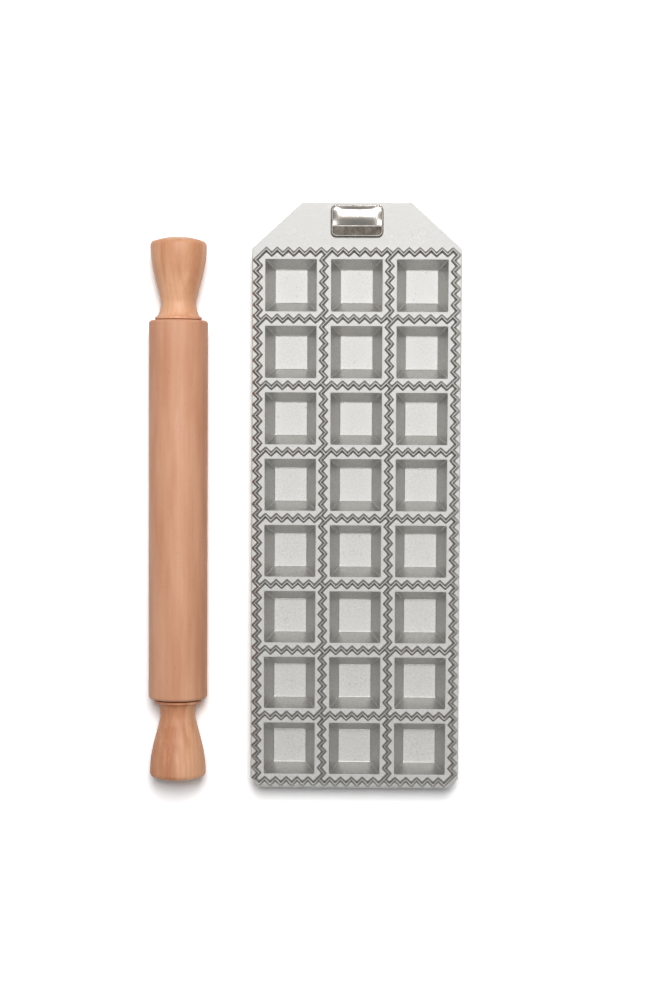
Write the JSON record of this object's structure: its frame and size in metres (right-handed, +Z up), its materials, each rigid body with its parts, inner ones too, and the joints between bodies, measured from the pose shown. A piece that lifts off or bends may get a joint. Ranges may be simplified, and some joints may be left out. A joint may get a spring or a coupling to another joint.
{
  "type": "ravioli mould",
  "caption": "Cast ravioli mould tray with square pockets inside zigzag cutting ridges, on rubber feet, and its revolving beech rolling pin lying beside it.",
  "frame": {"origin": "on the table, under the middle of the box round the tray and the pin", "axes": "+X across the tray, away from the pin; +Y along the tray towards the badge end; +Z up"},
  "size_m": [0.1694, 0.318, 0.032],
  "materials": {
    "cast_aluminium": "satin cast surface with a fine sandy grain",
    "badge_nickel": "polished nickel plate",
    "spring_steel": "dark pressed spring steel",
    "foot_rubber": "matte black rubber",
    "screw_zinc": "bright zinc plate",
    "barrel_beech": "sanded, lightly oiled beech",
    "handle_beech": "sanded, waxed beech",
    "bush_nylon": "natural white nylon",
    "axle_steel": "bright drawn steel rod"
  },
  "bodies": {
    "mould": {"mould_tray": "cast_aluminium", "badge_plate": "badge_nickel", "badge_nut_left": "spring_steel", "badge_nut_right": "spring_steel", "foot_head_left": "foot_rubber", "foot_head_right": "foot_rubber", "foot_tail_left": "foot_rubber", "foot_tail_right": "foot_rubber", "foot_screw_head_left": "screw_zinc", "foot_screw_head_right": "screw_zinc", "foot_screw_tail_left": "screw_zinc", "foot_screw_tail_right": "screw_zinc"},
    "pin_frame": {"roller_axle": "axle_steel", "roller_handle_head": "handle_beech", "roller_handle_tail": "handle_beech"},
    "pin_barrel": {"roller_barrel": "barrel_beech", "roller_bush_head": "bush_nylon", "roller_bush_tail": "bush_nylon"}
  },
  "joints": [
    {"name": "roller_lift", "type": "slide", "parent": "mould", "child": "pin_frame", "axis": [0, 0, 1], "range_m": [0, 0.1]},
    {"name": "roller_spin", "type": "hinge", "parent": "pin_frame", "child": "pin_barrel", "pos_m": [-0.06875, -0.0078, 0.016], "axis": [0, 1, 0], "continuous": true}
  ]
}
